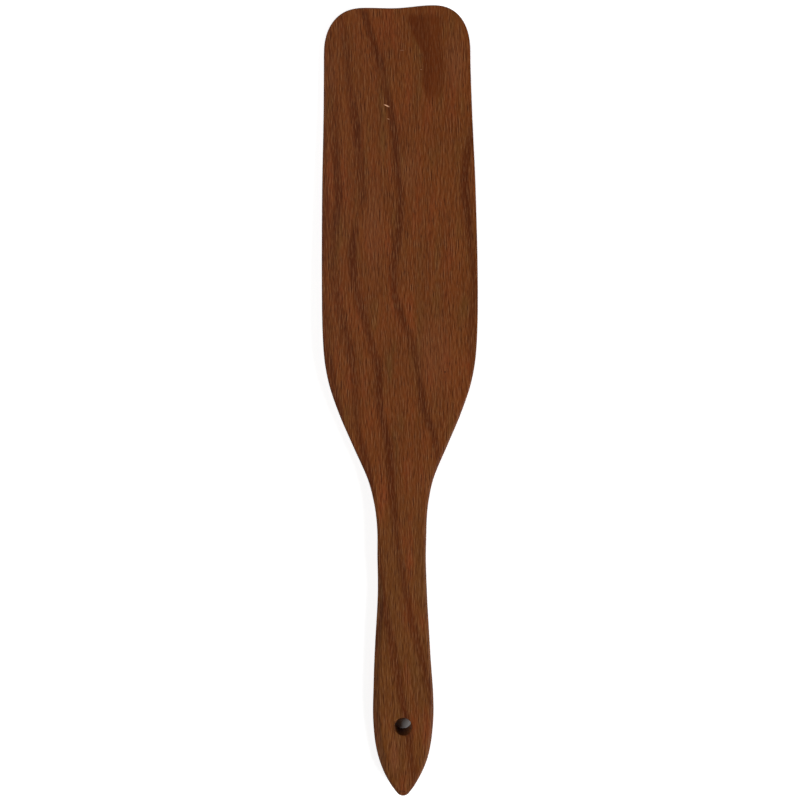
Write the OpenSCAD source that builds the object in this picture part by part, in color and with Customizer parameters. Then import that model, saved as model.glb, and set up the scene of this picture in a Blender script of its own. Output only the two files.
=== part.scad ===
// Kitchen spatula sawn from one flat board of beech, lying on its flat back.
// +Y runs from the tip of the handle to the end of the blade and +Z from the back to the front.
// The origin is under the middle of the outline. Sizes are in millimetres, angles in degrees.

/* [Length] */
// Overall length, from the tip of the handle to the end of the blade
total_l = 300; // [240:1:360]

/* [Widths] */
// Blade at its widest, just above the shoulders
blade_w = 59; // [50:0.5:70]
// Blade just below its end corners
end_w = 56; // [48:0.5:66]
// Neck at its narrowest
neck_w = 18.4; // [15:0.1:24]
// Handle at its widest
grip_w = 23; // [20:0.1:30]

/* [Thickness] */
// Board at the handle, the neck and the shoulders
board_t = 7; // [6:0.1:10]
// Blade at its thin end
end_t = 2.6; // [2.4:0.1:5]

/* [Ends] */
// Radius of the handle's tip
tip_r = 3; // [2.8:0.1:4]
// How far down the blade its end corners reach
corner_l = 19; // [12:0.5:24]
// Squareness of the end corners, where 2 is a plain ellipse
corner_power = 2.35; // [2:0.05:3]
// How much lower the end is worn on the left corner than on the right one
worn_drop = 0.8; // [0:0.1:2]
// Depth of the shallow hollow worn into the end
worn_dip = 0.6; // [0:0.1:1.5]

/* [Edges] */
// Rounding of the front edge along the handle
grip_round = 1.2; // [0.8:0.1:1.6]
// Rounding of the front edge round the tip, where it is worn most
tip_round = 1.7; // [1:0.1:2]
// Rounding of the back edge along the handle
grip_back_round = 1.3; // [0.8:0.1:2.2]
// Rounding of the front edge round the blade
blade_round = 0.8; // [0.5:0.1:1.2]
// Rounding of the back edge round the blade
blade_back_round = 0.8; // [0.5:0.1:1.2]
// Width of the flat planed along the handle's left front edge
facet_w = 2.4; // [1.6:0.1:2.8]
// How much wider that flat gets towards the tip
facet_gain = 0.8; // [0:0.1:1.2]
// Slope of that flat, as drop for each millimetre of width
facet_slope = 0.8; // [0.5:0.05:1]

/* [Hanging hole] */
// Diameter of the drilled hole
hole_d = 6.4; // [4:0.1:8]
// Distance from the tip of the handle to the middle of the hole
hole_from_tip = 26.5; // [22:0.5:34]
// Width of the softened rim on both faces
hole_rim = 0.4; // [0.2:0.1:0.8]

/* [Smoothness] */
// Spacing of the sections along the spatula
section_step = 2.8; // [2:0.1:5]
// Steps round each rounded edge
edge_steps = 5; // [3:1:7]
// Steps round each end corner
corner_steps = 12; // [8:1:18]

/* [Hidden] */

stretch = total_l / 300;
tip_y = -total_l / 2;
end_y = total_l / 2;
corner_y = end_y - corner_l;

// The tip's arc hands over to the handle's curve where its slope matches
tip_arc_l = 0.4 * tip_r;
tip_arc_half = sqrt(pow(tip_r, 2) - pow(tip_r - tip_arc_l, 2));
tip_steps = 5;

// The blade thins from the shoulders to the end, with a soft start
taper_y = 20 * stretch;
taper_blend = 20;
taper_slope = (board_t - end_t) / (end_y - taper_y);

// The edges change from the handle's rounding to the blade's along the neck
soften_y = 20 * stretch;
soften_l = 45 * stretch;
// and the handle's to the tip's over its last part
worn_y = tip_y + 45 * stretch;
worn_l = 25 * stretch;

// The planed flat starts below the neck, widens past the hanging hole and ends just short of the tip
facet_start_y = tip_y + 89 * stretch;
facet_start_l = 15 * stretch;
facet_gain_y = tip_y + 42 * stretch;
facet_gain_l = 22 * stretch;
facet_end_y = tip_y + 8 * stretch;
facet_end_l = 7 * stretch;

// Where the end corners run out into the end edge, left and right of the middle
left_x = -0.45 * end_w / 2;
right_x = 0.48 * end_w / 2;
end_steps = 10;

hole_y = tip_y + hole_from_tip;
fine = 96;

beech = [0.39, 0.21, 0.11];

function mix(a, b, share) = a + (b - a) * share;
function smooth(t) = let(u = min(1, max(0, t))) u * u * (3 - 2 * u);

// Half width at stations from the tip of the handle up to the end corners
half_widths = [
    for (station = [
        [4, mix(0, grip_w, 0.39)],
        [10, mix(0, grip_w, 0.675)],
        [16, mix(0, grip_w, 0.855)],
        [24, mix(0, grip_w, 0.965)],
        [34, grip_w],
        [58, mix(neck_w, grip_w, 0.5)],
        [76, mix(neck_w, grip_w, 0.07)],
        [92, neck_w],
        [104, mix(neck_w, blade_w, 0.016)],
        [112, mix(neck_w, blade_w, 0.067)],
        [120, mix(neck_w, blade_w, 0.168)],
        [132, mix(neck_w, blade_w, 0.424)],
        [144, mix(neck_w, blade_w, 0.677)],
        [156, mix(neck_w, blade_w, 0.874)],
        [168, mix(neck_w, blade_w, 0.967)],
        [190, blade_w],
        [230, mix(end_w, blade_w, 0.76)],
        [260, mix(end_w, blade_w, 0.2)],
    ]) [tip_y + station[0] * stretch, station[1] / 2]
];
knots = concat([[tip_y + tip_arc_l, tip_arc_half]], half_widths, [[corner_y, end_w / 2]]);
last = len(knots) - 1;

// Smooth curve through the stations, with the slope at each one taken from its neighbours
function slope(i) =
    i == 0 ? (tip_r - tip_arc_l) / tip_arc_half
    : i == last ? 0
    : (knots[i + 1][1] - knots[i - 1][1]) / (knots[i + 1][0] - knots[i - 1][0]);
function segment(y, i = 0) = i == last - 1 || y < knots[i + 1][0] ? i : segment(y, i + 1);
function half_width(y) =
    let(
        i = segment(y),
        span = knots[i + 1][0] - knots[i][0],
        t = (y - knots[i][0]) / span,
        ease = smooth(t)
    )
    mix(knots[i][1], knots[i + 1][1], ease)
    + span * slope(i) * t * pow(1 - t, 2)
    - span * slope(i + 1) * pow(t, 2) * (1 - t);

// Worn end of the blade
function end_edge_y(x) =
    let(t = (x - left_x) / (right_x - left_x))
    end_y - worn_drop * (1 - smooth(t)) - worn_dip * pow(sin(180 * t), 2);

// Quarter of a soft-cornered box, from the side of the blade at angle 0 to its end at 90
function corner(angle, from, to) = [
    mix(to[0], from[0], pow(cos(angle), 2 / corner_power)),
    mix(from[1], to[1], pow(sin(angle), 2 / corner_power))
];

sections = ceil((corner_y - tip_y - tip_arc_l) / section_step);
section_l = (corner_y - tip_y - tip_arc_l) / sections;
side_ys = [for (i = [0:sections]) tip_y + tip_arc_l + i * section_l];

// One side of the outline, from just past the tip to the middle of the blade's end
function side(sign, run_out_x) =
    let(
        start = [sign * end_w / 2, corner_y],
        finish = [run_out_x, end_edge_y(run_out_x)],
        middle_x = (left_x + right_x) / 2
    )
    concat(
        [
            for (i = [1:tip_steps - 1])
                let(l = tip_arc_l * pow(i / tip_steps, 2))
                [sign * sqrt(pow(tip_r, 2) - pow(tip_r - l, 2)), tip_y + l]
        ],
        [for (y = side_ys) [sign * half_width(y), y]],
        [for (i = [1:corner_steps]) corner(90 * i / corner_steps, start, finish)],
        [
            for (i = [1:end_steps - 1])
                let(x = mix(run_out_x, middle_x, i / end_steps))
                [x, end_edge_y(x)]
        ]
    );

left = side(-1, left_x);
right = side(1, right_x);
rungs = len(left);
end_middle_x = (left_x + right_x) / 2;
outline = concat(
    [[0, tip_y]],
    left,
    [[end_middle_x, end_edge_y(end_middle_x)]],
    [for (i = [rungs - 1:-1:0]) right[i]]
);
count = len(outline);

function front_z(y) =
    let(past = y - taper_y)
    board_t - taper_slope * (
        past < -taper_blend ? 0
        : past < taper_blend ? pow(past + taper_blend, 2) / (4 * taper_blend)
        : past
    );
function along_handle(y) = smooth((soften_y - y) / soften_l);
function front_round(y) =
    mix(mix(blade_round, grip_round, along_handle(y)), tip_round, smooth((worn_y - y) / worn_l));
function back_round(y) = mix(blade_back_round, grip_back_round, along_handle(y));

// Planed flat: 0 where the front edge is only rounded and 1 where the flat has taken its place
function facet_share(p) =
    p[0] > 0 ? 0
    : smooth((facet_start_y - p[1]) / facet_start_l) * smooth((p[1] - facet_end_y) / facet_end_l);
function facet_width(y) = facet_w + facet_gain * smooth((facet_gain_y - y) / facet_gain_l);

// Outline point moved in from the edge, square to the outline
function inset(i, depth) =
    let(
        along = outline[(i + 1) % count] - outline[(i + count - 1) % count],
        inward = [along[1], -along[0]] / norm(along)
    )
    outline[i] + inward * depth;

// How far in from the side and down from the front the front edge is, from angle 0 at the side
// to 90 at the front
function front_edge(p, angle) =
    let(
        r = front_round(p[1]),
        w = facet_width(p[1]),
        share = facet_share(p)
    )
    [
        mix(r * (1 - cos(angle)), w * angle / 90, share),
        mix(r * (1 - sin(angle)), w * facet_slope * (1 - angle / 90), share)
    ];

// Rings of points from the flat of the back, round both edges, to the flat of the front
function back_ring(angle) = [
    for (i = [0:count - 1])
        let(
            r = back_round(outline[i][1]),
            p = inset(i, r * (1 - sin(angle)))
        )
        [p[0], p[1], r * (1 - cos(angle))]
];
function front_ring(angle) = [
    for (i = [0:count - 1])
        let(
            run = front_edge(outline[i], angle),
            p = inset(i, run[0])
        )
        [p[0], p[1], front_z(p[1]) - run[1]]
];
rings = concat(
    [for (i = [0:edge_steps]) back_ring(90 * i / edge_steps)],
    [for (i = [0:edge_steps]) front_ring(90 * i / edge_steps)]
);

// The blade's end is filled from a hub point between its corners, and the rest rung by rung
hub_y = corner_y + 0.3 * corner_l;
corner_rung = tip_steps + sections;
function flat_face(start, hub) = concat(
    [[start, start + 1, start + count - 1]],
    [
        for (i = [1:corner_rung - 1], half = [0, 1])
            let(l = start + i, r = start + count - i)
            half == 0 ? [l, l + 1, r - 1] : [l, r - 1, r]
    ],
    [for (i = [corner_rung:count - corner_rung - 1]) [hub, start + i, start + i + 1]],
    [[hub, start + count - corner_rung, start + corner_rung]]
);
function flipped(triangles) = [for (t = triangles) [t[0], t[2], t[1]]];

module blank() {
    top_ring = (len(rings) - 1) * count;
    back_hub = len(rings) * count;
    edge_faces = [
        for (k = [0:len(rings) - 2], i = [0:count - 1], half = [0, 1])
            let(
                a = k * count + i,
                b = k * count + (i + 1) % count
            )
            half == 0 ? [a, b, b + count] : [a, b + count, a + count]
    ];
    polyhedron(
        points = concat(
            [for (ring = rings, p = ring) p],
            [[0, hub_y, 0], [0, hub_y, front_z(hub_y)]]
        ),
        faces = concat(
            flipped(flat_face(0, back_hub)),
            edge_faces,
            flat_face(top_ring, back_hub + 1)
        )
    );
}

// Drilled right through, with the rim softened on both faces
module hanging_hole() {
    translate([0, hole_y, -1])
        cylinder(d = hole_d, h = board_t + 2, $fn = fine);
    translate([0, hole_y, -hole_rim])
        cylinder(d1 = hole_d + 4 * hole_rim, d2 = hole_d, h = 2 * hole_rim, $fn = fine);
    translate([0, hole_y, board_t - hole_rim])
        cylinder(d1 = hole_d, d2 = hole_d + 4 * hole_rim, h = 2 * hole_rim, $fn = fine);
}

module spatula() {
    color(beech)
        difference() {
            blank();
            hanging_hole();
        }
}

spatula();
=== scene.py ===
import math

import bpy
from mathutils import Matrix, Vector


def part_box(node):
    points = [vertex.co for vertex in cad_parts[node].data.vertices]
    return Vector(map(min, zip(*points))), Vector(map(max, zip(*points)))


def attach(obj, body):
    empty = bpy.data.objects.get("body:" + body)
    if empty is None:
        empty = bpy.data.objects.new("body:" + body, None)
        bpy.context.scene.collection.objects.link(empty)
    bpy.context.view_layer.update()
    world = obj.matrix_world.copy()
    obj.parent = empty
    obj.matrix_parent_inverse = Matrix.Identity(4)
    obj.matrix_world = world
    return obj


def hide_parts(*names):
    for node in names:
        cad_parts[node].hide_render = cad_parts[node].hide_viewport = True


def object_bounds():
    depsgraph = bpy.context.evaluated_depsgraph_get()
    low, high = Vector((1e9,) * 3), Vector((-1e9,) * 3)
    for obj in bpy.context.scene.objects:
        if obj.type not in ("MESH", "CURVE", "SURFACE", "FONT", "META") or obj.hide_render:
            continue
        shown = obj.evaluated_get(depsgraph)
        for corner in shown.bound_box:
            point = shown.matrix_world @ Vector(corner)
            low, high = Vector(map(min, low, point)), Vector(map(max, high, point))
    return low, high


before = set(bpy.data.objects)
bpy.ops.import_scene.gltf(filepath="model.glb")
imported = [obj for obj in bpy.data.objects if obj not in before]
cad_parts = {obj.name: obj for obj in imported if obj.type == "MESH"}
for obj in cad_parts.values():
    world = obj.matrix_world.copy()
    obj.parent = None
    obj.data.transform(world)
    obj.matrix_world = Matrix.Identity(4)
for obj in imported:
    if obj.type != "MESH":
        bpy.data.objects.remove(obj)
cadLow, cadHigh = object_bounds()
boardLow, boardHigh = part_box("spatula")
mm = 0.001


def mix(a, b, share):
    return a + (b - a) * share


def smooth(t):
    t = min(1.0, max(0.0, t))
    return t * t * (3 - 2 * t)


def toLinear(hexColour):  # sRGB hex, as picked on a screen, to the linear colour a shader wants
    channels = [int(hexColour[i:i + 2], 16) / 255 for i in (1, 3, 5)]
    return [c / 12.92 if c <= 0.04045 else ((c + 0.055) / 1.055) ** 2.4 for c in channels] + [1.0]


# Inputs come in order or by socket name, and a node stands for its first output in use
def addNode(tree, kind, inputs=(), **settings):
    made = tree.nodes.new(kind)
    for key, value in settings.items():
        setattr(made, key, value)
    if not isinstance(inputs, dict):
        sockets = [socket for socket in made.inputs if socket.enabled]
        inputs = dict(zip(sockets, inputs))
    for key, value in inputs.items():
        socket = key if isinstance(key, bpy.types.NodeSocket) else made.inputs[key]
        if isinstance(value, bpy.types.Node):
            value = next(output for output in value.outputs if output.enabled)
        if isinstance(value, bpy.types.NodeSocket):
            tree.links.new(value, socket)
        else:
            socket.default_value = value
    return made


# Camera: straight above, close, turned by the half degree that the spatula lies askew in the picture

camera = {
    "height": 307.4,      # mm above the floor, found from how far up the hole's back rim shows
    "aim": (-0.17, -0.70),  # mm, the point of the floor under the lens
    "turn": -0.459,       # degrees
    "lens": 36.0,         # on a 36 mm sensor: as many mm of view as the camera is high
}


def makeCamera():
    data = bpy.data.cameras.new("camera")
    data.sensor_width = 36.0
    data.lens = camera["lens"]
    data.clip_start = 0.01
    data.clip_end = 50.0
    made = bpy.data.objects.new("camera", data)
    made.location = (camera["aim"][0] * mm, camera["aim"][1] * mm, camera["height"] * mm)
    made.rotation_euler = (0, 0, math.radians(camera["turn"]))
    bpy.context.scene.collection.objects.link(made)
    bpy.context.scene.camera = made


makeCamera()
print("camera ready")


# Outline of the spatula, in mm: the same stations as the solid, plus the wander of the hand that shaped it

outline = {
    "length": (boardHigh.y - boardLow.y) / mm,
    "bladeWidth": 59.0,
    "endWidth": 56.0,
    "neckWidth": 18.4,
    "gripWidth": 23.0,
    "tipRadius": 3.0,
    "cornerLength": 19.0,
    "cornerPower": 2.35,
    "wornDrop": 0.8,     # the end is worn lower on the left than on the right
    "wornDip": 0.6,      # and a little hollow between
    "leftRunOut": -0.45,   # where the corners run out, as shares of half the end's width
    "rightRunOut": 0.48,
    "step": 0.4,         # mm between points up the sides
    "tipSteps": 8,       # points round half the tip, each end corner and half the end edge
    "cornerSteps": 40,
    "edgeSteps": 30,
    "stations": [        # mm from the tip, the two widths it lies between, and the share of the second
        (4, 0, "gripWidth", 0.39),
        (10, 0, "gripWidth", 0.675),
        (16, 0, "gripWidth", 0.855),
        (24, 0, "gripWidth", 0.965),
        (34, 0, "gripWidth", 1),
        (58, "neckWidth", "gripWidth", 0.5),
        (76, "neckWidth", "gripWidth", 0.07),
        (92, "neckWidth", "gripWidth", 0),
        (104, "neckWidth", "bladeWidth", 0.016),
        (112, "neckWidth", "bladeWidth", 0.067),
        (120, "neckWidth", "bladeWidth", 0.168),
        (132, "neckWidth", "bladeWidth", 0.424),
        (144, "neckWidth", "bladeWidth", 0.677),
        (156, "neckWidth", "bladeWidth", 0.874),
        (168, "neckWidth", "bladeWidth", 0.967),
        (190, "neckWidth", "bladeWidth", 1),
        (230, "endWidth", "bladeWidth", 0.76),
        (260, "endWidth", "bladeWidth", 0.2),
    ],
    "wander": [          # mm from the tip, mm that the middle line strays to the right
        (0, -0.2), (16, -0.1), (38, 0.15), (52, 0.0), (76, 0.14), (90, -0.02), (100, 0.12),
        (126, -0.24), (160, -0.08), (196, 0.12), (240, 0.0), (278, -0.2), (300, 0.0),
    ],
}

tipY = -outline["length"] / 2
endY = outline["length"] / 2
cornerY = endY - outline["cornerLength"]
tipArc = 0.4 * outline["tipRadius"]
leftX = outline["leftRunOut"] * outline["endWidth"] / 2
rightX = outline["rightRunOut"] * outline["endWidth"] / 2


def tipHalf(rise):  # half width of the round tip, so far above its lowest point
    return math.sqrt(outline["tipRadius"] ** 2 - (outline["tipRadius"] - rise) ** 2)


# Smooth curve, its slope at each knot taken from the neighbours
def curveThrough(knots, firstSlope, lastSlope):
    slopes = [firstSlope]
    for before, after in zip(knots, knots[2:]):
        slopes.append((after[1] - before[1]) / (after[0] - before[0]))
    slopes.append(lastSlope)

    def at(y):
        i = 0
        while i < len(knots) - 2 and y >= knots[i + 1][0]:
            i += 1
        span = knots[i + 1][0] - knots[i][0]
        t = (y - knots[i][0]) / span
        return (mix(knots[i][1], knots[i + 1][1], t * t * (3 - 2 * t))
                + span * slopes[i] * t * (1 - t) ** 2
                - span * slopes[i + 1] * t * t * (1 - t))
    return at


def widthOf(name):
    return outline[name] if name else 0.0


sideKnots = [(tipY + tipArc, tipHalf(tipArc))]
sideKnots += [(tipY + rise, mix(widthOf(low), widthOf(high), share) / 2)
              for rise, low, high, share in outline["stations"]]
sideKnots += [(cornerY, outline["endWidth"] / 2)]
halfWidth = curveThrough(sideKnots, (outline["tipRadius"] - tipArc) / tipHalf(tipArc), 0.0)
wander = curveThrough([(tipY + rise, stray) for rise, stray in outline["wander"]], 0.0, 0.0)


def endEdge(x):  # the worn end of the blade
    t = (x - leftX) / (rightX - leftX)
    return (endY - outline["wornDrop"] * (1 - smooth(t))
            - outline["wornDip"] * math.sin(math.pi * min(1, max(0, t))) ** 2)


# From the tip up one side, round the corner and in to the middle of the end
def sidePoints(sign, runOutX):
    points = []
    for i in range(outline["tipSteps"]):
        rise = tipArc * (i / outline["tipSteps"]) ** 2
        points.append((sign * tipHalf(rise), tipY + rise))
    count = math.ceil((cornerY - tipY - tipArc) / outline["step"])
    for i in range(count):
        y = mix(tipY + tipArc, cornerY, i / count)
        points.append((sign * halfWidth(y), y))
    start, finish = (sign * outline["endWidth"] / 2, cornerY), (runOutX, endEdge(runOutX))
    for i in range(outline["cornerSteps"] + 1):
        angle = math.pi / 2 * i / outline["cornerSteps"]
        across = max(0.0, math.cos(angle)) ** (2 / outline["cornerPower"])
        up = math.sin(angle) ** (2 / outline["cornerPower"])
        points.append((mix(finish[0], start[0], across), mix(start[1], finish[1], up)))
    middleX = (leftX + rightX) / 2
    for i in range(1, outline["edgeSteps"] + 1):
        x = mix(runOutX, middleX, i / outline["edgeSteps"])
        points.append((x, endEdge(x)))
    return [(x + wander(y), y) for x, y in points]


def lengthsAlong(points):
    lengths = [0.0]
    for a, b in zip(points, points[1:]):
        lengths.append(lengths[-1] + math.dist(a, b))
    return lengths


def resample(points, places):  # the points at these lengths along a line of points
    lengths = lengthsAlong(points)
    found, i = [], 0
    for place in places:
        while i < len(points) - 2 and lengths[i + 1] < place:
            i += 1
        t = (place - lengths[i]) / max(1e-9, lengths[i + 1] - lengths[i])
        found.append((mix(points[i][0], points[i + 1][0], t), mix(points[i][1], points[i + 1][1], t)))
    return found


# The board: both faces are a grid of quads that follows the outline, rounded edges join them,
# and a ring of quads round the hanging hole leads into its bore

board = {
    "thickness": (boardHigh.z - boardLow.z) / mm,
    "endThickness": 2.6,
    "taperStart": 20.0,    # y where the front begins to fall towards the end
    "taperBlend": 20.0,    # softness of that start
    "gripRound": 1.2,
    "tipRound": 1.7,
    "gripBackRound": 1.3,
    "bladeRound": 0.8,
    "bladeBackRound": 0.8,
    "softenFrom": 20.0,    # y where the edges begin to change from the blade's rounding to the handle's
    "softenOver": 45.0,
    "tipWorn": (45, 25),   # mm from the tip where the tip's rounding begins, and over how many mm
    "facet": 2.4,          # width of the flat planed along the handle's left front edge
    "facetGain": 0.8,      # how much wider it gets towards the tip
    "facetSlope": 0.8,
    "facetTop": (89, 15),  # and the same where the flat begins, where it widens and where it runs out
    "facetWiden": (42, 22),
    "facetFoot": (8, 7),
    "across": 48,          # quads across the faces
    "along": 330,          # quads along them
    "edgeSteps": 7,        # quads round each edge
    "wallShares": (0.12, 0.4, 0.7, 0.92),  # rings of points up the side between the rounded edges
    "support": 0.3,        # mm of flat kept beside the edges, so that their shading stays on them
}
hole = {
    "diameter": 6.4,
    "fromTip": 26.5,
    "rim": 0.4,
    "columns": 10,         # quads of the grid cut out to each side of the hole
    "rows": 5,
    "rings": 3,
    "rimSteps": 4,
    "boreSteps": 4,
}


def above(y, place):  # 0 above a place given as mm from the tip and a length, and 1 that length below it
    return smooth((tipY + place[0] - y) / place[1])


def frontZ(y):  # height of the front: level, then falling towards the thin end, with a soft start
    past = y - board["taperStart"]
    blend = board["taperBlend"]
    fall = (board["thickness"] - board["endThickness"]) / (endY - board["taperStart"])
    if past < -blend:
        return board["thickness"]
    if past < blend:
        return board["thickness"] - fall * (past + blend) ** 2 / (4 * blend)
    return board["thickness"] - fall * past


def frontRound(y):
    rounding = mix(board["bladeRound"], board["gripRound"],
                   smooth((board["softenFrom"] - y) / board["softenOver"]))
    return mix(rounding, board["tipRound"], above(y, board["tipWorn"]))


def backRound(y):
    return mix(board["bladeBackRound"], board["gripBackRound"],
               smooth((board["softenFrom"] - y) / board["softenOver"]))


# How far in and how far down the front edge is, from 0 at the side to 1 at the front
def frontEdge(x, y, t):
    angle = math.pi / 2 * t
    share = 0.0
    if x < wander(y):
        footRise, footLength = board["facetFoot"]
        share = above(y, board["facetTop"]) * smooth((y - tipY - footRise) / footLength)
    width = board["facet"] + board["facetGain"] * above(y, board["facetWiden"])
    inward = mix(frontRound(y) * (1 - math.cos(angle)), width * t, share)
    down = mix(frontRound(y) * (1 - math.sin(angle)), width * board["facetSlope"] * (1 - t), share)
    return inward, down


def boundary():  # the outline as the four sides of a grid: tip, right, end and left
    left, right = sidePoints(-1, leftX), sidePoints(1, rightX)
    leftLengths, rightLengths = lengthsAlong(left), lengthsAlong(right)
    tipShare = 2.4     # mm of outline from the tip to the grid's lower corners
    endShare = 0.5     # part of each end corner that belongs to the end
    sides = {}
    for name, points, lengths in (("left", left, leftLengths), ("right", right, rightLengths)):
        cornerStart = next(i for i, p in enumerate(points) if p[1] >= cornerY)
        cornerEnd = cornerStart + outline["cornerSteps"]
        turn = mix(lengths[cornerStart], lengths[cornerEnd], endShare)
        sides[name] = (turn, lengths[-1])
    rows = board["along"]
    columns = board["across"]
    half = columns // 2
    leftSide = resample(left, [mix(tipShare, sides["left"][0], j / rows) for j in range(rows + 1)])
    rightSide = resample(right, [mix(tipShare, sides["right"][0], j / rows) for j in range(rows + 1)])
    tipLeft = resample(left, [tipShare * i / half for i in range(half + 1)])
    tipRight = resample(right, [tipShare * i / half for i in range(half + 1)])
    endLeft = resample(left, [mix(*sides["left"], i / half) for i in range(half + 1)])
    endRight = resample(right, [mix(*sides["right"], i / half) for i in range(half + 1)])
    tip = tipLeft[::-1] + tipRight[1:]
    end = endLeft + endRight[::-1][1:]
    return tip, rightSide, end, leftSide


def insetLoop(loop, depthAt):  # each point of a closed loop moved in, square to the loop
    moved = []
    for i, (x, y) in enumerate(loop):
        before, after = loop[i - 1], loop[(i + 1) % len(loop)]
        alongX, alongY = after[0] - before[0], after[1] - before[1]
        size = math.hypot(alongX, alongY)
        depth = depthAt(x, y)
        moved.append((x - alongY / size * depth, y + alongX / size * depth))
    return moved


def loopFrom(tip, right, end, left):  # anticlockwise from above
    return tip[:-1] + right[:-1] + end[:0:-1] + left[:0:-1]


def sidesFrom(loop):  # the four sides again
    columns, rows = board["across"], board["along"]
    ring = loop + loop[:1]
    tip = ring[:columns + 1]
    right = ring[columns:columns + rows + 1]
    end = ring[columns + rows:2 * columns + rows + 1][::-1]
    left = ring[2 * columns + rows:][::-1]
    return tip, right, end, left


# Grid of points between four sides, each interior point drawn from all four
def fillGrid(tip, right, end, left):
    columns, rows = len(tip) - 1, len(left) - 1
    grid = []
    for j in range(rows + 1):
        v = j / rows
        line = []
        for i in range(columns + 1):
            u = i / columns
            point = []
            for k in (0, 1):
                sides = mix(left[j][k], right[j][k], u) + mix(tip[i][k], end[i][k], v)
                corners = mix(mix(tip[0][k], tip[-1][k], u), mix(end[0][k], end[-1][k], u), v)
                point.append(sides - corners)
            line.append(tuple(point))
        grid.append(line)
    return grid


def buildBlank():
    verts, faces = [], []

    def addLine(points, z):
        first = len(verts)
        verts.extend((x, y, z(x, y)) for x, y in points)
        return list(range(first, len(verts)))

    # Quads between two closed rings, facing out where they run anticlockwise from above
    def bridge(lower, upper):
        for i in range(len(lower)):
            k = (i + 1) % len(lower)
            faces.append((lower[i], lower[k], upper[k], upper[i]))

    edge = loopFrom(*boundary())
    steps = board["edgeSteps"]
    holeY = tipY + hole["fromTip"]

    # Both faces, each with a block of quads left out round the hole
    def makeFace(inset, z, flip):
        loop = insetLoop(edge, inset)
        grid = fillGrid(*sidesFrom(loop))
        rows, columns = len(grid) - 1, len(grid[0]) - 1
        ids = [addLine(line, z) for line in grid]
        middle = min(range(rows), key=lambda j: abs(grid[j][columns // 2][1] - holeY))
        lowJ, highJ = middle - hole["rows"], middle + hole["rows"]
        lowI, highI = columns // 2 - hole["columns"], columns // 2 + hole["columns"]
        for j in range(rows):
            for i in range(columns):
                if lowJ <= j < highJ and lowI <= i < highI:
                    continue
                quad = (ids[j][i], ids[j][i + 1], ids[j + 1][i + 1], ids[j + 1][i])
                faces.append(quad[::-1] if flip else quad)
        around = (ids[0][:-1] + [ids[j][-1] for j in range(rows)]
                  + ids[-1][:0:-1] + [ids[j][0] for j in range(rows, 0, -1)])
        block = (ids[lowJ][lowI:highI] + [ids[j][highI] for j in range(lowJ, highJ)]
                 + ids[highJ][highI:lowI:-1] + [ids[j][lowI] for j in range(highJ, lowJ, -1)])
        return around, block

    def frontInset(x, y):
        return frontEdge(x, y, 1.0)[0] + board["support"]

    def backInset(x, y):
        return backRound(y) + board["support"]

    frontLoop, frontBlock = makeFace(frontInset, lambda x, y: frontZ(y), False)
    backLoop, backBlock = makeFace(backInset, lambda x, y: 0.0, True)

    # Rounded edges and the side between them
    rings = [backLoop]

    def addRing(points, heights):
        first = len(verts)
        verts.extend((x, y, z) for (x, y), z in zip(points, heights))
        rings.append(list(range(first, len(verts))))

    for s in range(steps + 1):
        angle = math.pi / 2 * s / steps
        points = insetLoop(edge, lambda x, y: backRound(y) * (1 - math.sin(angle)))
        addRing(points, [backRound(y) * (1 - math.cos(angle)) for x, y in edge])
    for share in board["wallShares"]:
        heights = [mix(backRound(y), frontZ(y) - frontEdge(x, y, 0.0)[1], share) for x, y in edge]
        addRing(edge, heights)
    for s in range(steps + 1):
        points = insetLoop(edge, lambda x, y: frontEdge(x, y, s / steps)[0])
        addRing(points, [frontZ(p[1]) - frontEdge(x, y, s / steps)[1] for p, (x, y) in zip(points, edge)])
    rings.append(frontLoop)
    for lower, upper in zip(rings, rings[1:]):
        bridge(lower, upper)

    # The hole: rings in from the block, round the rim, down the bore and out at the back
    radius, rim = hole["diameter"] / 2, hole["rim"]

    def holeRings(block, top):
        angles = [math.atan2(verts[k][1] - holeY, verts[k][0]) for k in block]
        found = [block]
        for s in range(1, hole["rings"] + 1):
            share = s / hole["rings"]
            first = len(verts)
            for k, angle in zip(block, angles):
                x = mix(verts[k][0], (radius + rim) * math.cos(angle), share)
                y = mix(verts[k][1], holeY + (radius + rim) * math.sin(angle), share)
                verts.append((x, y, verts[k][2]))
            found.append(list(range(first, len(verts))))
        for s in range(1, hole["rimSteps"] + 1):
            turn = math.pi / 2 * s / hole["rimSteps"]
            r = radius + rim * (1 - math.sin(turn))
            drop = rim * (1 - math.cos(turn))
            first = len(verts)
            z = board["thickness"] - drop if top else drop
            verts.extend((r * math.cos(a), holeY + r * math.sin(a), z) for a in angles)
            found.append(list(range(first, len(verts))))
        return found, angles

    frontRings = holeRings(frontBlock, True)[0]
    backRings, angles = holeRings(backBlock, False)
    wall = []
    for s in range(1, hole["boreSteps"]):
        z = mix(board["thickness"] - rim, rim, s / hole["boreSteps"])
        first = len(verts)
        verts.extend((radius * math.cos(a), holeY + radius * math.sin(a), z) for a in angles)
        wall.append(list(range(first, len(verts))))
    down = frontRings + wall + backRings[::-1]
    for upper, lower in zip(down, down[1:]):
        bridge(upper, lower)

    mesh = bpy.data.meshes.new("beechSpatula")
    mesh.from_pydata([(x * mm, y * mm, z * mm) for x, y, z in verts], [], faces)
    mesh.validate()
    mesh.shade_smooth()
    made = bpy.data.objects.new("beechSpatula", mesh)
    bpy.context.scene.collection.objects.link(made)
    return made


spatula = buildBlank()
print("board cut:", len(spatula.data.polygons), "quads")


# Wood: flat-sawn beech, sanded, oiled and dulled with age. Everything is worked out from the place in the
# board, in mm, so that the growth rings and the rays run on over the edges, the back and the ends

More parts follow.
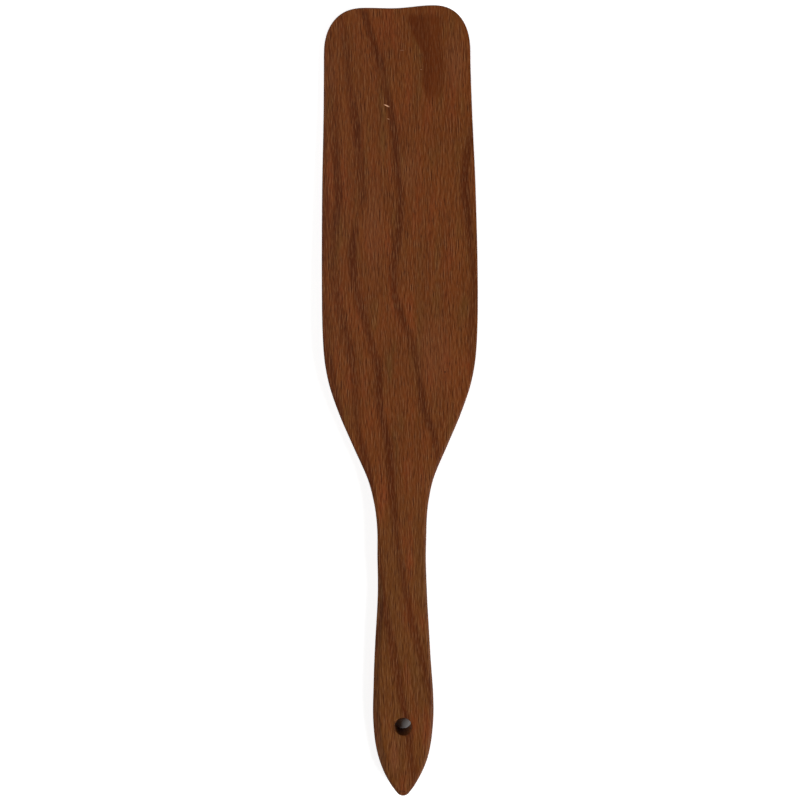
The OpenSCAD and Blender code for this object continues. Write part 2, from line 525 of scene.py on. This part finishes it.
wood = {
    "blade": "#6B3612",
    "handle": "#663915",      # a little greener where it was held
    "reddish": "#723514",
    "olive": "#663D18",
    "ringEdge": "#522205",
    "flame": "#5A2605",
    "clear": "#734022",
    "ends": "#3A1A08",        # cut across the grain, it drinks more oil
    "ringSlope": 3.5,         # mm that a ring moves across for every mm of depth
    "ringGap": 9.0,           # mm between the rings past the outermost one of the front
    "backDarkness": 0.9,
    "rings": {                # mm along, mm across, darkness: where each ring's dark edge meets the front
        "inner": [(150, -31, 0.5), (113, -27.9, 0.5), (80, -27.8, 0.5), (30, -28.1, 0.6), (16, -27.1, 0.8),
                  (9, -25.6, 1), (-20, -21, 1), (-80, -17, 0.8), (-150, -9, 0.6)],
        "second": [(150, -28, 0.2), (133, -25.7, 0.3), (106, -24, 0.5), (92, -23.4, 0.9), (83, -22.9, 1),
                   (75, -22.6, 1), (64, -24.2, 0.8), (46, -24.6, 0.6), (37, -23.2, 0.7), (18, -18.8, 0.8),
                   (7, -17, 0.7), (-4, -16.3, 0.7), (-12, -15.7, 0.8), (-27, -12, 1), (-53, -9.2, 0.8),
                   (-81, -6.1, 0.9), (-100, -2.5, 0.8), (-119, 1.1, 1), (-131, 2.9, 0.8), (-150, 5, 0.7)],
        "third": [(150, -23, 0.3), (136, -19.6, 0.5), (126, -18.9, 0.6), (114, -17.2, 0.7), (105, -16, 1),
                  (96, -15.3, 0.9), (86, -14.2, 0.6), (75, -13.5, 0.7), (69, -14.9, 0.3), (62, -16.7, 1),
                  (50, -17.6, 1), (39, -15.7, 0.8), (20, -10.5, 0.8), (10, -8.3, 1), (-1, -7.7, 1),
                  (-19, -4.4, 1), (-38, -3.1, 0.9), (-58, -0.6, 0.7), (-79, 3, 0.8), (-106, 9.5, 0.8),
                  (-150, 19, 0.7)],
        "fourth": [(150, -13.4, 0.9), (133, -8.2, 1), (127, -6.6, 1), (122, -5.3, 0.5), (113, -3.3, 1),
                   (108, -2.3, 1), (86, -0.2, 1), (75, 0.8, 0.9), (60, -0.5, 1), (47, -2, 0.9), (37, -1, 1),
                   (20, 4.5, 0.8), (10, 6.7, 0.8), (-4, 8.8, 1), (-12, 11.8, 1), (-20, 13.9, 0.7),
                   (-60, 22, 0.6), (-150, 40, 0.6)],
        "outer": [(150, 40, 0.2), (110, 31, 0.4), (93, 26.3, 0.9), (82, 25.1, 1), (65, 26.4, 0.9),
                  (44, 28.4, 0.7), (25, 27.1, 0.6), (10, 28, 0.5), (-10, 32, 0.6), (-60, 40, 0.8),
                  (-150, 58, 0.8)],
    },
    "flameFoot": (107.0, 119.0),  # y where the flame fades in and, short of the end, out
    "flameHead": (147.5, 144.5),
    "flameLeft": [(150, 3), (144, 4), (136, 6.6), (130, 9.4), (123, 9.2), (115, 10.3), (110, 13.2), (0, 20)],
    "flameRight": [(150, 17.4), (132, 17.4), (121, 17.9), (114, 16.5), (109, 13.6), (0, 0)],
    "clearDepth": 3.0,        # mm that the paler patches reach down
    "clearer": [              # and where they are on the front: middle, half axes and share
        (22.0, 128.0, 4.5, 15.0, 0.7),
        (-25.0, 124.0, 2.5, 9.0, 0.4),
        (4.0, 86.0, 4.5, 9.0, 0.5),
        (-9.5, 64.0, 4.0, 22.0, 0.5),
        (13.0, 17.0, 8.0, 17.0, 0.5),
        (-3.3, -134.0, 2.2, 9.0, 0.8),
    ],
    "fibres": [               # bundles of fibres: width, length, lean through the board, share
        (0.36, 4.0, 0.04, 1.0),
        (0.41, 9.0, -0.05, 0.7),
    ],
    "paleFibre": "#91623F",
    "darkFibre": "#431B03",
    "flecks": {               # rays cut across: spindles along the grain, one to a cell
        "longRays": {"cell": (0.7, 7.0), "reach": (0.1, 0.4), "lean": 0.14, "shift": 0.0,
                     "colour": "#3A1603", "strength": 0.6},
        "shortRays": {"cell": (0.6, 4.5), "reach": (0.1, 0.35), "lean": -0.17, "shift": 31.7,
                      "colour": "#401A05", "strength": 0.5},
        "paleFibres": {"cell": (0.6, 6.0), "reach": (0.1, 0.35), "lean": 0.21, "shift": 73.1,
                       "colour": "#8A5A30", "strength": 0.4},
    },
    "marks": {                # nicks and specks: middle, half axes and depth in mm, turn in degrees
        "nick": {"at": (-4.3, 111.0), "size": (1.4, 0.3), "turn": -27, "colour": "#E0A883", "depth": 0.2},
        "smallNick": {"at": (-3.7, 105.9), "size": (0.6, 0.25), "turn": -20, "colour": "#A4704F", "depth": 0.12},
        "speck": {"at": (8.9, 124.8), "size": (0.4, 0.25), "turn": 0, "colour": "#8E5E40", "depth": 0.1},
        "scuff": {"at": (1.7, 132.3), "size": (1.0, 0.2), "turn": 0, "colour": "#82543A", "depth": 0.03},
        "pinHole": {"at": (16.8, 9.7), "size": (0.3, 0.35), "turn": 0, "colour": "#200A02", "depth": 0.3},
    },
    "roughness": 0.5,
    "gloss": 0.1,             # open pores and sanding marks leave little of a smooth varnish's shine
}


def makeBeech():
    material = bpy.data.materials.new("oiledBeech")
    material.use_nodes = True
    tree = material.node_tree
    tree.nodes.clear()
    place = addNode(tree, "ShaderNodeTexCoord").outputs["Object"]
    scaled = addNode(tree, "ShaderNodeVectorMath", {0: place, "Scale": 1000.0}, operation="SCALE")
    x, y, z = addNode(tree, "ShaderNodeSeparateXYZ", [scaled]).outputs

    # Depth under the front, which falls away to the thin end
    fall = (board["thickness"] - board["endThickness"]) / (endY - board["taperStart"])
    past = addNode(tree, "ShaderNodeMath", [y, board["taperStart"]], operation="SUBTRACT")
    past = addNode(tree, "ShaderNodeMath", [past, 0.0, 2 * board["taperBlend"]], operation="SMOOTH_MAX")
    face = addNode(tree, "ShaderNodeMath", [past, -fall, board["thickness"]], operation="MULTIPLY_ADD")
    depth = addNode(tree, "ShaderNodeMath", [face, z], operation="SUBTRACT")

    def waves(across, along, through, amount, detail=2.0):  # noise stretched along the grain, about 0
        stretched = addNode(tree, "ShaderNodeVectorMath", [scaled, (1 / across, 1 / along, 1 / through)],
                            operation="MULTIPLY")
        found = addNode(tree, "ShaderNodeTexNoise", {"Vector": stretched, "Scale": 1.0, "Detail": detail})
        found = addNode(tree, "ShaderNodeMath", [found.outputs[0], 0.5], operation="SUBTRACT")
        return addNode(tree, "ShaderNodeMath", [found, amount], operation="MULTIPLY")

    def follow(path, column=1, low=-60.0, high=60.0):  # what a column of a path says at this place along
        share = addNode(tree, "ShaderNodeMapRange", [y, tipY, endY, 0.0, 1.0])
        bent = addNode(tree, "ShaderNodeFloatCurve", {"Value": share})
        curve = bent.mapping.curves[0]
        points = [((row[0] - tipY) / outline["length"], (row[column] - low) / (high - low))
                  for row in path[::-1]]
        curve.points[0].location = points[0]
        curve.points[1].location = points[-1]
        for point in points[1:-1]:
            curve.points.new(*point)
        bent.mapping.update()
        return addNode(tree, "ShaderNodeMath", [bent, high - low, low], operation="MULTIPLY_ADD")

    def between(value, start, full, low=0.0, high=1.0):
        return addNode(tree, "ShaderNodeMapRange", [value, start, full, low, high],
                       interpolation_type="SMOOTHSTEP")

    def times(a, b):
        return addNode(tree, "ShaderNodeMath", [a, b], operation="MULTIPLY")

    # Rings: the distance across from each ring's dark edge, with the ragged line that the fibres give it
    across = addNode(tree, "ShaderNodeMath", [depth, wood["ringSlope"], x], operation="MULTIPLY_ADD")
    for ragged in (waves(0.5, 9, 2, 1.8), waves(6, 24, 6, 1.6)):
        across = addNode(tree, "ShaderNodeMath", [across, ragged], operation="ADD")
    ringEdges = 0.0
    lines = [(follow(path), follow(path, 2, 0.0, 1.0)) for path in wood["rings"].values()]
    outermost = lines[-1][0]
    for step in (1, 2, 3):  # further rings, which only the back shows
        further = addNode(tree, "ShaderNodeMath", [outermost, wood["ringGap"] * step], operation="ADD")
        lines.append((further, wood["backDarkness"]))
    for line, darkness in lines:
        beyond = addNode(tree, "ShaderNodeMath", [across, line], operation="SUBTRACT")
        band = times(between(beyond, -2.6, -0.3), between(beyond, 0.4, 2.4, 1.0, 0.0))
        ringEdges = addNode(tree, "ShaderNodeMath", [ringEdges, times(band, darkness)], operation="MAXIMUM")

    # Flame: where the end of the blade cuts along a ring's dark edge instead of through it
    fromLeft = addNode(tree, "ShaderNodeMath", [across, follow(wood["flameLeft"])], operation="SUBTRACT")
    fromRight = addNode(tree, "ShaderNodeMath", [follow(wood["flameRight"]), across], operation="SUBTRACT")
    flame = times(between(fromLeft, -0.8, 1.2), between(fromRight, -0.6, 1.2))
    flame = times(flame, between(y, *wood["flameFoot"]))
    flame = times(flame, between(y, *wood["flameHead"]))
    flame = times(flame, between(fromLeft, 2.0, 8.0, 1.0, 0.75))

    # Colour, from the broad tones down to single rays
    colour = addNode(tree, "ShaderNodeMix", [between(y, -10.0, -70.0), toLinear(wood["blade"]),
                                             toLinear(wood["handle"])], data_type="RGBA")
    tone = waves(5, 22, 7, 1.0, 3.0)
    for name, start, full in (("reddish", 0.0, 0.25), ("olive", 0.0, -0.25)):
        colour = addNode(tree, "ShaderNodeMix", [between(tone, start, full), colour, toLinear(wood[name])],
                         data_type="RGBA")
    colour = addNode(tree, "ShaderNodeMix", [ringEdges, colour, toLinear(wood["ringEdge"])], data_type="RGBA")
    colour = addNode(tree, "ShaderNodeMix", [flame, colour, toLinear(wood["flame"])], data_type="RGBA")
    shade = addNode(tree, "ShaderNodeMath", [waves(6, 24, 6, 0.6, 3.0), 1.0], operation="ADD")
    colour = addNode(tree, "ShaderNodeVectorMath", {0: colour, "Scale": shade}, operation="SCALE")
    at = addNode(tree, "ShaderNodeCombineXYZ", [x, y, depth])
    clear = 0.0
    for middleX, middleY, halfX, halfY, share in wood["clearer"]:
        local = addNode(tree, "ShaderNodeMapping", {
            "Vector": at, "Location": (middleX, middleY, 0),
            "Scale": (halfX, halfY, wood["clearDepth"])}, vector_type="TEXTURE")
        away = addNode(tree, "ShaderNodeVectorMath", [local], operation="LENGTH").outputs["Value"]
        clear = addNode(tree, "ShaderNodeMath", [between(away, 1.2, 0.2), share, clear],
                        operation="MULTIPLY_ADD")
    colour = addNode(tree, "ShaderNodeMix", [clear, colour, toLinear(wood["clear"])], data_type="RGBA")
    calm = between(flame, 0.0, 1.0, 1.0, 0.5)
    fibres = 0.0
    for width, length, lean, share in wood["fibres"]:
        bundle = addNode(tree, "ShaderNodeMath", [z, lean, x], operation="MULTIPLY_ADD")
        bundle = addNode(tree, "ShaderNodeMath", [bundle, waves(9, 25, 9, 1.5)], operation="ADD")
        bundle = addNode(tree, "ShaderNodeMath", [times(bundle, 1 / width)], operation="FLOOR")
        for neighbour, sign in ((0, share), (1, -share)):  # each stands out from the next
            row = addNode(tree, "ShaderNodeMath", [bundle, neighbour], operation="ADD")
            luck = addNode(tree, "ShaderNodeTexWhiteNoise", {"W": row}, noise_dimensions="1D")
            layer = addNode(tree, "ShaderNodeMath", [depth, 1.6, luck], operation="MULTIPLY_ADD")
            layer = addNode(tree, "ShaderNodeMath", [layer], operation="FLOOR")
            spot = addNode(tree, "ShaderNodeCombineXYZ",
                           [times(row, 7.3), times(y, 1 / length), times(layer, 4.7)])
            own = addNode(tree, "ShaderNodeTexNoise", {"Vector": spot, "Scale": 1.0, "Detail": 1.0})
            fibres = addNode(tree, "ShaderNodeMath", [own, sign, fibres], operation="MULTIPLY_ADD")
    fibres = times(fibres, calm)
    for name, full, strength in (("paleFibre", 0.4, 0.42), ("darkFibre", -0.4, 0.85)):
        part = addNode(tree, "ShaderNodeMapRange", [fibres, 0.0, full, 0.0, strength])
        colour = addNode(tree, "ShaderNodeMix", [part, colour, toLinear(wood[name])], data_type="RGBA")
    height = times(fibres, 0.03)
    for fleck in wood["flecks"].values():
        shifted = addNode(tree, "ShaderNodeMath", [z, fleck["lean"], x], operation="MULTIPLY_ADD")
        shifted = addNode(tree, "ShaderNodeMath", [shifted, fleck["shift"]], operation="ADD")
        spot = addNode(tree, "ShaderNodeCombineXYZ", [shifted, y])
        spot = addNode(tree, "ShaderNodeVectorMath", [spot, (1 / fleck["cell"][0], 1 / fleck["cell"][1], 0)],
                       operation="MULTIPLY")
        cells = addNode(tree, "ShaderNodeTexVoronoi", {"Vector": spot, "Scale": 1.0},
                        voronoi_dimensions="2D", distance="MANHATTAN")
        luck = addNode(tree, "ShaderNodeSeparateColor", [cells.outputs["Color"]])
        reach = between(luck.outputs[0], 0.0, 1.0, *fleck["reach"])
        spindle = addNode(tree, "ShaderNodeMath", [cells.outputs["Distance"], reach], operation="DIVIDE")
        spindle = between(spindle, 1.0, 0.4)
        height = addNode(tree, "ShaderNodeMath", [spindle, -0.012, height], operation="MULTIPLY_ADD")
        spindle = times(times(spindle, calm), between(luck.outputs[1], 0.0, 1.0, 0.3, 1.0))
        spindle = times(spindle, fleck["strength"])
        colour = addNode(tree, "ShaderNodeMix", [spindle, colour, toLinear(fleck["colour"])], data_type="RGBA")

    ends = addNode(tree, "ShaderNodeAttribute", attribute_name="endGrain").outputs["Fac"]
    ends = between(ends, 0.6, 1.0, 0.0, 0.55)
    colour = addNode(tree, "ShaderNodeMix", [ends, colour, toLinear(wood["ends"])], data_type="RGBA")

    # Nicks, specks and the pin hole, each a small ellipsoid at the face
    for mark in wood["marks"].values():
        local = addNode(tree, "ShaderNodeMapping", {
            "Vector": at, "Location": (*mark["at"], 0), "Rotation": (0, 0, math.radians(mark["turn"])),
            "Scale": (*mark["size"], 0.8)}, vector_type="TEXTURE")
        away = addNode(tree, "ShaderNodeVectorMath", [local], operation="LENGTH").outputs["Value"]
        inside = between(away, 1.0, 0.5)
        colour = addNode(tree, "ShaderNodeMix", [inside, colour, toLinear(mark["colour"])], data_type="RGBA")
        height = addNode(tree, "ShaderNodeMath", [inside, -mark["depth"], height], operation="MULTIPLY_ADD")

    bump = addNode(tree, "ShaderNodeBump", {"Height": height, "Distance": mm, "Strength": 1.0})
    dull = addNode(tree, "ShaderNodeMath", [waves(3, 12, 3, 0.16), wood["roughness"]], operation="ADD")
    shader = addNode(tree, "ShaderNodeBsdfPrincipled", {
        "Base Color": colour, "Roughness": dull, "IOR": 1.5, "Specular IOR Level": wood["gloss"],
        "Normal": bump})
    addNode(tree, "ShaderNodeOutputMaterial", {"Surface": shader})
    return material


beech = makeBeech()


# Hand finish: a rule for the whole surface, so a node tree. It takes a little off in long waves and short
# ripples, as a scraper and sandpaper do, and marks how squarely each place cuts the grain

finish = {
    "Wave": 0.08,          # mm taken off at most
    "Wave Length": 34.0,   # mm along the grain, a third of it across
    "Ripple": 0.025,
    "Ripple Length": 9.0,
    "Seed": 7.0,
}


def makeFinish():
    tree = bpy.data.node_groups.new("handFinish", "GeometryNodeTree")
    tree.interface.new_socket(name="Geometry", in_out="INPUT", socket_type="NodeSocketGeometry")
    for name, value in finish.items():
        socket = tree.interface.new_socket(name=name, in_out="INPUT", socket_type="NodeSocketFloat")
        socket.default_value = value
    tree.interface.new_socket(name="Material", in_out="INPUT", socket_type="NodeSocketMaterial")
    tree.interface.new_socket(name="Geometry", in_out="OUTPUT", socket_type="NodeSocketGeometry")
    given = addNode(tree, "NodeGroupInput").outputs
    normal = addNode(tree, "GeometryNodeInputNormal")
    place = addNode(tree, "GeometryNodeInputPosition")
    place = addNode(tree, "ShaderNodeVectorMath", {0: place, "Scale": 1 / mm}, operation="SCALE")
    place = addNode(tree, "ShaderNodeVectorMath", [place, (3.0, 1.0, 3.0)], operation="MULTIPLY")
    off = 0.0
    for name in ("Wave", "Ripple"):
        size = addNode(tree, "ShaderNodeMath", [1.0, given[f"{name} Length"]], operation="DIVIDE")
        found = addNode(tree, "ShaderNodeTexNoise", {
            "Vector": place, "W": given["Seed"], "Scale": size, "Detail": 1.0}, noise_dimensions="4D")
        found = addNode(tree, "ShaderNodeMath", [found, given[name]], operation="MULTIPLY")
        off = addNode(tree, "ShaderNodeMath", [found, off], operation="ADD")
    inward = addNode(tree, "ShaderNodeVectorMath", {0: normal, "Scale": addNode(
        tree, "ShaderNodeMath", [off, -mm], operation="MULTIPLY")}, operation="SCALE")
    moved = addNode(tree, "GeometryNodeSetPosition", {"Geometry": given["Geometry"], "Offset": inward})
    facing = addNode(tree, "ShaderNodeSeparateXYZ", [normal])
    facing = addNode(tree, "ShaderNodeMath", [facing.outputs["Y"]], operation="ABSOLUTE")
    marked = addNode(tree, "GeometryNodeStoreNamedAttribute", {
        "Geometry": moved, "Name": "endGrain", "Value": facing}, data_type="FLOAT", domain="POINT")
    whole = addNode(tree, "GeometryNodeRealizeInstances", {"Geometry": marked})
    coated = addNode(tree, "GeometryNodeSetMaterial", {"Geometry": whole, "Material": given["Material"]})
    addNode(tree, "NodeGroupOutput", {"Geometry": coated})
    return tree


def applyTree(target, tree, values):
    modifier = target.modifiers.new("finish", "NODES")
    modifier.node_group = tree
    for socket in tree.interface.items_tree:
        if socket.in_out == "INPUT" and socket.name in values:
            modifier[socket.identifier] = values[socket.name]
    evaluated = target.evaluated_get(bpy.context.evaluated_depsgraph_get())
    mesh = bpy.data.meshes.new_from_object(evaluated)
    target.modifiers.remove(modifier)
    target.data = mesh


applyTree(spatula, makeFinish(), {**finish, "Material": beech})
print("hand finish done:", len(spatula.data.polygons), "quads")
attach(spatula, "root")
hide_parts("spatula")
print("wood ready")


# Studio: a pale floor that shows white, a soft key light low on the right and a broad fill on the left.
# The zenith stays dark, so that the flat faces don't shine and the hanging hole is dark

studio = {
    "floorSize": 6.0,        # m
    "floorColour": "#E8E8E8",
    "floorGlow": 0.6,        # added where the camera looks straight at the floor
    "glowHole": 6.0,         # mm round the hanging hole where the floor, under the spatula, has no glow
    "ambient": 0.25,
    "lights": [              # name, share of the light on the face, azimuth, elevation, distance, size in m
        ("key", 0.47, -30, 35, 1.2, 0.6),
        ("fill", 0.40, 150, 50, 1.3, 1.0),
    ],
}


def makeLights():
    for name, share, azimuth, elevation, distance, size in studio["lights"]:
        data = bpy.data.lights.new(name, "AREA")
        data.shape = "DISK"
        data.size = size
        data.energy = share * math.pi ** 2 * distance ** 2 / math.sin(math.radians(elevation))
        made = bpy.data.objects.new(name, data)
        a, e = math.radians(azimuth), math.radians(elevation)
        towards = Vector((math.cos(a) * math.cos(e), math.sin(a) * math.cos(e), math.sin(e)))
        made.location = towards * distance
        made.rotation_euler = towards.to_track_quat("Z", "Y").to_euler()
        bpy.context.scene.collection.objects.link(made)


def makeWorld():
    world = bpy.data.worlds.new("studio")
    world.use_nodes = True
    tree = world.node_tree
    tree.nodes.clear()
    seen = addNode(tree, "ShaderNodeLightPath").outputs["Is Camera Ray"]
    upward = addNode(tree, "ShaderNodeTexCoord").outputs["Generated"]
    upward = addNode(tree, "ShaderNodeSeparateXYZ", [upward])
    horizon = addNode(tree, "ShaderNodeMapRange", [upward.outputs["Z"], 0.5, 0.9, studio["ambient"], 0.0])
    strength = addNode(tree, "ShaderNodeMath", [horizon, seen], operation="MAXIMUM")
    sky = addNode(tree, "ShaderNodeBackground", {"Color": (1, 1, 1, 1), "Strength": strength})
    addNode(tree, "ShaderNodeOutputWorld", {"Surface": sky})
    bpy.context.scene.world = world


def makeFloor():
    half = studio["floorSize"] / 2
    mesh = bpy.data.meshes.new("floor")
    corners = [(-half, -half, 0), (half, -half, 0), (half, half, 0), (-half, half, 0)]
    mesh.from_pydata(corners, [], [(0, 1, 2, 3)])
    floor = bpy.data.objects.new("floor", mesh)
    floor.location.z = cadLow.z - 0.02 * mm
    bpy.context.scene.collection.objects.link(floor)
    material = bpy.data.materials.new("paleFloor")
    material.use_nodes = True
    tree = material.node_tree
    tree.nodes.clear()
    place = addNode(tree, "ShaderNodeTexCoord").outputs["Object"]
    fromHole = addNode(tree, "ShaderNodeVectorMath", [place, (0, (tipY + hole["fromTip"]) * mm, 0)],
                       operation="DISTANCE").outputs["Value"]
    outside = addNode(tree, "ShaderNodeMath", [fromHole, studio["glowHole"] * mm], operation="GREATER_THAN")
    seen = addNode(tree, "ShaderNodeLightPath").outputs["Is Camera Ray"]
    glow = addNode(tree, "ShaderNodeMath", [seen, outside], operation="MULTIPLY")
    strength = addNode(tree, "ShaderNodeMath", [glow, studio["floorGlow"]], operation="MULTIPLY")
    paint = addNode(tree, "ShaderNodeBsdfDiffuse", {"Color": toLinear(studio["floorColour"])})
    light = addNode(tree, "ShaderNodeEmission", {"Color": (1, 1, 1, 1), "Strength": strength})
    both = addNode(tree, "ShaderNodeAddShader", [paint, light])
    addNode(tree, "ShaderNodeOutputMaterial", {"Surface": both})
    mesh.materials.append(material)


makeLights()
makeWorld()
makeFloor()
bpy.context.scene.view_settings.view_transform = "Standard"
print("studio ready")
